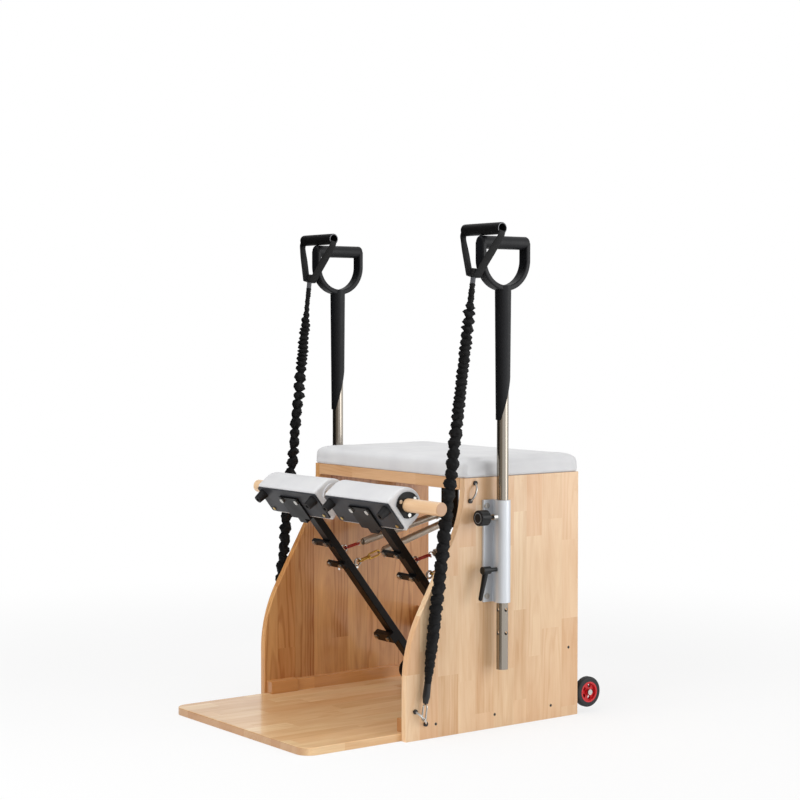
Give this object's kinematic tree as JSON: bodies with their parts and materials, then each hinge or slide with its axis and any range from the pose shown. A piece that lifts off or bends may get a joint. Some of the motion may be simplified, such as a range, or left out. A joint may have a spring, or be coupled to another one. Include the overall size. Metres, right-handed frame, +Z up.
{
  "type": "pilates chair",
  "caption": "Wooden pilates chair: padded seat box, sprung split pedals on a pivot axle with a joining rod, sliding D-handle poles with resistance bands, and transport wheels.",
  "frame": {"origin": "on the floor, at the middle of the footprint from the front of the base board to the back of the wheels", "axes": "+Z up, +X to the side where the joining rod sticks out further, -Y to the front where the user stands on the base board"},
  "size_m": [0.8266, 0.8716, 1.1953],
  "materials": {
    "panel_wood": "satin lacquer",
    "board_wood": "satin lacquer",
    "core_wood": "sawn",
    "rod_wood": "satin lacquer",
    "white_vinyl": "fine grained vinyl",
    "black_steel": "satin powder coat",
    "bolt_steel": "plated",
    "spring_steel": "plated",
    "pole_steel": "brushed",
    "bracket_aluminium": "satin anodised",
    "handle_plastic": "moulded",
    "bumper_rubber": "matte",
    "grip_rubber": "foam",
    "band_fabric": "woven",
    "tyre": "matte",
    "red_plastic": "gloss",
    "eye_chrome": "polished"
  },
  "bodies": {
    "frame": {"band_end_caps": "handle_plastic", "band_eyes_and_hooks": "eye_chrome", "base_board": "board_wood", "cleats_and_rails": "board_wood", "frame_fasteners": "bolt_steel", "left_band_sleeve": "band_fabric", "left_side_panel": "panel_wood", "pivot_axle": "pole_steel", "pivot_pedestals": "black_steel", "pole_brackets": "bracket_aluminium", "racks_and_wheel_brackets": "black_steel", "right_band_sleeve": "band_fabric", "right_side_panel": "panel_wood", "seat_board": "board_wood", "seat_pad": "white_vinyl"},
    "right_pedal": {"right_arm": "black_steel", "right_arm_fittings": "black_steel", "right_pedal_plate": "black_steel", "right_pedal_core": "core_wood", "right_pedal_pad": "white_vinyl", "right_bumpers": "bumper_rubber", "right_pedal_bolts": "bolt_steel"},
    "right_upper_spring_hook": {"right_upper_clips": "bolt_steel", "right_upper_spring": "spring_steel"},
    "right_upper_spring_tail": {"right_upper_collar": "bolt_steel"},
    "right_lower_spring_hook": {"right_lower_clips": "bolt_steel", "right_lower_spring": "spring_steel"},
    "right_lower_spring_tail": {"right_lower_collar": "bolt_steel"},
    "right_pole": {"right_pole": "pole_steel", "right_handle": "handle_plastic", "right_band_grip": "grip_rubber", "right_band_strap": "band_fabric", "right_band_plug": "handle_plastic"},
    "right_index_knob": {"right_knob": "handle_plastic"},
    "right_lever": {"right_clamp_lever": "handle_plastic"},
    "right_wheel": {"right_wheel_tyre": "tyre", "right_wheel_hub": "red_plastic"},
    "left_pedal": {"left_arm": "black_steel", "left_arm_fittings": "black_steel", "left_pedal_plate": "black_steel", "left_pedal_core": "core_wood", "left_pedal_pad": "white_vinyl", "left_bumpers": "bumper_rubber", "left_pedal_bolts": "bolt_steel"},
    "left_upper_spring_hook": {"left_upper_clips": "bolt_steel", "left_upper_spring": "spring_steel"},
    "left_upper_spring_tail": {"left_upper_collar": "bolt_steel"},
    "left_lower_spring_hook": {"left_lower_clips": "bolt_steel", "left_lower_spring": "spring_steel"},
    "left_lower_spring_tail": {"left_lower_collar": "bolt_steel"},
    "left_pole": {"left_pole": "pole_steel", "left_handle": "handle_plastic", "left_band_grip": "grip_rubber", "left_band_strap": "band_fabric", "left_band_plug": "handle_plastic"},
    "left_index_knob": {"left_knob": "handle_plastic"},
    "left_lever": {"left_clamp_lever": "handle_plastic"},
    "left_wheel": {"left_wheel_tyre": "tyre", "left_wheel_hub": "red_plastic"},
    "rod": {"pedal_rod": "rod_wood"}
  },
  "joints": [
    {"name": "right_pedal_press", "type": "hinge", "parent": "frame", "child": "right_pedal", "pos_m": [0, 0.22525, 0.05], "axis": [1, 0, 0], "range_deg": [0, 50], "stiffness_Nm_per_rad": 60, "springref_deg": -34.38},
    {"name": "left_pedal_press", "type": "hinge", "parent": "frame", "child": "left_pedal", "pos_m": [0, 0.22525, 0.05], "axis": [1, 0, 0], "range_deg": [0, 50], "stiffness_Nm_per_rad": 60, "springref_deg": -34.38},
    {"name": "right_upper_hook_swing", "type": "hinge", "parent": "right_pedal", "child": "right_upper_spring_hook", "pos_m": [0.138, -0.01252, 0.39088], "axis": [1, 0, 0], "range_deg": [-26.01, 0]},
    {"name": "right_upper_spring_stretch", "type": "slide", "parent": "right_upper_spring_hook", "child": "right_upper_spring_tail", "axis": [0, 0.9754, 0.2203], "range_m": [0, 0.2953], "deforming": ["right_upper_spring"]},
    {"name": "right_lower_hook_swing", "type": "hinge", "parent": "right_pedal", "child": "right_lower_spring_hook", "pos_m": [0.162, 0.01395, 0.35699], "axis": [1, 0, 0], "range_deg": [-28.7, 0]},
    {"name": "right_lower_spring_stretch", "type": "slide", "parent": "right_lower_spring_hook", "child": "right_lower_spring_tail", "axis": [0, 0.958, 0.2868], "range_m": [0, 0.2727], "deforming": ["right_lower_spring"]},
    {"name": "left_upper_hook_swing", "type": "hinge", "parent": "left_pedal", "child": "left_upper_spring_hook", "pos_m": [-0.162, -0.01252, 0.39088], "axis": [1, 0, 0], "range_deg": [-26.01, 0]},
    {"name": "left_upper_spring_stretch", "type": "slide", "parent": "left_upper_spring_hook", "child": "left_upper_spring_tail", "axis": [0, 0.9754, 0.2203], "range_m": [0, 0.2953], "deforming": ["left_upper_spring"]},
    {"name": "left_lower_hook_swing", "type": "hinge", "parent": "left_pedal", "child": "left_lower_spring_hook", "pos_m": [-0.138, 0.01395, 0.35699], "axis": [1, 0, 0], "range_deg": [-28.7, 0]},
    {"name": "left_lower_spring_stretch", "type": "slide", "parent": "left_lower_spring_hook", "child": "left_lower_spring_tail", "axis": [0, 0.958, 0.2868], "range_m": [0, 0.2727], "deforming": ["left_lower_spring"]},
    {"name": "rod_slide", "type": "slide", "parent": "right_pedal", "child": "rod", "axis": [1, 0, 0], "range_m": [0, 0.638]},
    {"name": "right_pole_lift", "type": "slide", "parent": "frame", "child": "right_pole", "axis": [0, 0, 1], "range_m": [0, 0.275], "deforming": ["right_band_sleeve"]},
    {"name": "right_index_pin", "type": "slide", "parent": "frame", "child": "right_index_knob", "axis": [0, 1, 0], "range_m": [0, 0.008]},
    {"name": "right_lever_turn", "type": "hinge", "parent": "frame", "child": "right_lever", "pos_m": [0.341, 0.04325, 0.384], "axis": [0, -1, 0], "range_deg": [-15, 120]},
    {"name": "right_wheel_spin", "type": "hinge", "parent": "frame", "child": "right_wheel", "pos_m": [0.3026, 0.39825, 0.05], "axis": [1, 0, 0], "continuous": true},
    {"name": "left_pole_lift", "type": "slide", "parent": "frame", "child": "left_pole", "axis": [0, 0, 1], "range_m": [0, 0.275], "deforming": ["left_band_sleeve"]},
    {"name": "left_index_pin", "type": "slide", "parent": "frame", "child": "left_index_knob", "axis": [0, 1, 0], "range_m": [0, 0.008]},
    {"name": "left_lever_turn", "type": "hinge", "parent": "frame", "child": "left_lever", "pos_m": [-0.341, 0.04325, 0.384], "axis": [0, 1, 0], "range_deg": [-15, 120]},
    {"name": "left_wheel_spin", "type": "hinge", "parent": "frame", "child": "left_wheel", "pos_m": [-0.3026, 0.39825, 0.05], "axis": [1, 0, 0], "continuous": true}
  ],
  "couplings": [
    {"joint": "left_pedal_press", "follows": "right_pedal_press", "ratio": 1},
    {"joint": "right_upper_hook_swing", "follows": "right_pedal_press", "ratio": -0.51412},
    {"joint": "right_upper_spring_stretch", "follows": "right_pedal_press", "m_per_rad": 0.3372},
    {"joint": "right_lower_hook_swing", "follows": "right_pedal_press", "ratio": -0.56793},
    {"joint": "right_lower_spring_stretch", "follows": "right_pedal_press", "m_per_rad": 0.3114},
    {"joint": "left_upper_hook_swing", "follows": "right_pedal_press", "ratio": -0.51412},
    {"joint": "left_upper_spring_stretch", "follows": "right_pedal_press", "m_per_rad": 0.3372},
    {"joint": "left_lower_hook_swing", "follows": "right_pedal_press", "ratio": -0.56793},
    {"joint": "left_lower_spring_stretch", "follows": "right_pedal_press", "m_per_rad": 0.3114}
  ]
}
